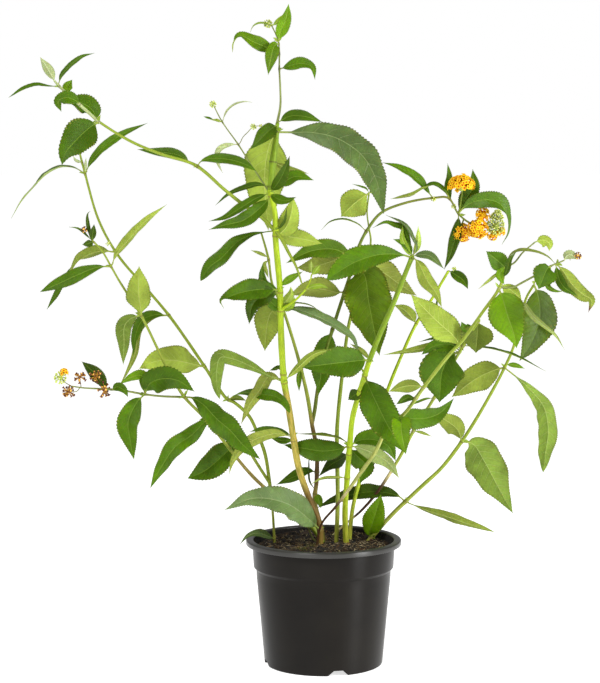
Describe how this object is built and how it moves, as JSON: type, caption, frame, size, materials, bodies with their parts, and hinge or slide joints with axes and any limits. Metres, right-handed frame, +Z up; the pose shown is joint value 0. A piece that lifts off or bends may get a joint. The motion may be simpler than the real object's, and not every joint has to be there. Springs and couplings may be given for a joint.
{
  "type": "potted butterfly bush",
  "caption": "Young flowering shrub with slender arching canes, narrow pointed leaves and small round flower heads, growing in a plain round nursery pot of peat.",
  "frame": {"origin": "centre of the pot's underside, on the surface it stands on", "axes": "+Z up along the pot's axis, front towards -Y, +X to the right of the front view"},
  "size_m": [0.6122, 0.3419, 0.708],
  "materials": {
    "pot_plastic": "satin",
    "peat": "matte",
    "woody_stem": "matte",
    "green_stem": "satin",
    "leaf_upper": "satin",
    "leaf_under": "matte",
    "florets": "matte",
    "withered": "matte",
    "buds": "matte"
  },
  "bodies": {
    "root": {"pot": "pot_plastic", "soil": "peat", "cane_tall": "woody_stem", "cane_slim": "green_stem", "cane_flower": "green_stem", "cane_middle": "green_stem", "cane_bright": "green_stem", "cane_behind": "green_stem", "cane_front": "green_stem", "cane_rear": "green_stem", "cane_right": "green_stem", "cane_left": "green_stem", "cane_low": "green_stem", "leaf_tip": "leaf_upper", "leaf_arching": "leaf_upper", "leaf_tall_behind": "leaf_under", "leaf_crown_left": "leaf_upper", "leaf_drooping_left": "leaf_upper", "leaf_tall_left": "leaf_upper", "leaf_tall_hanging": "leaf_under", "leaf_tall_long": "leaf_upper", "leaf_bent_pale": "leaf_under", "leaf_arch_pale": "leaf_under", "leaf_over_pot": "leaf_upper", "leaf_arm_right": "leaf_upper", "leaf_arm_broad": "leaf_upper", "leaf_arm_tip": "leaf_upper", "leaf_left_sickle": "leaf_upper", "leaf_left_twisted": "leaf_under", "leaf_left_pale": "leaf_under", "leaf_left_across": "leaf_upper", "leaf_left_low": "leaf_upper", "leaf_low_tip": "leaf_upper", "leaf_low_upright": "leaf_under", "leaf_low_broad": "leaf_upper", "leaf_low_slant": "leaf_upper", "leaf_spray_top": "leaf_upper", "leaf_spray_hanging": "leaf_upper", "leaf_flower_left": "leaf_upper", "leaf_flower_broad": "leaf_upper", "leaf_flower_right": "leaf_upper", "leaf_middle_round": "leaf_under", "leaf_bright_top": "leaf_upper", "leaf_bright_light": "leaf_upper", "leaf_bright_broad": "leaf_upper", "leaf_bright_left": "leaf_upper", "leaf_front_hanging": "leaf_upper", "leaf_front_tip": "leaf_under", "leaf_rear_pale": "leaf_under", "leaf_right_pale": "leaf_under", "leaf_right_hanging": "leaf_under", "leaf_right_low": "leaf_under", "leaf_right_long": "leaf_under", "leaf_right_upright": "leaf_upper", "leaf_right_grey": "leaf_upper", "head_top": "florets", "head_lower": "florets", "head_middle": "florets", "head_green": "buds", "head_withered": "withered"}
  },
  "joints": []
}
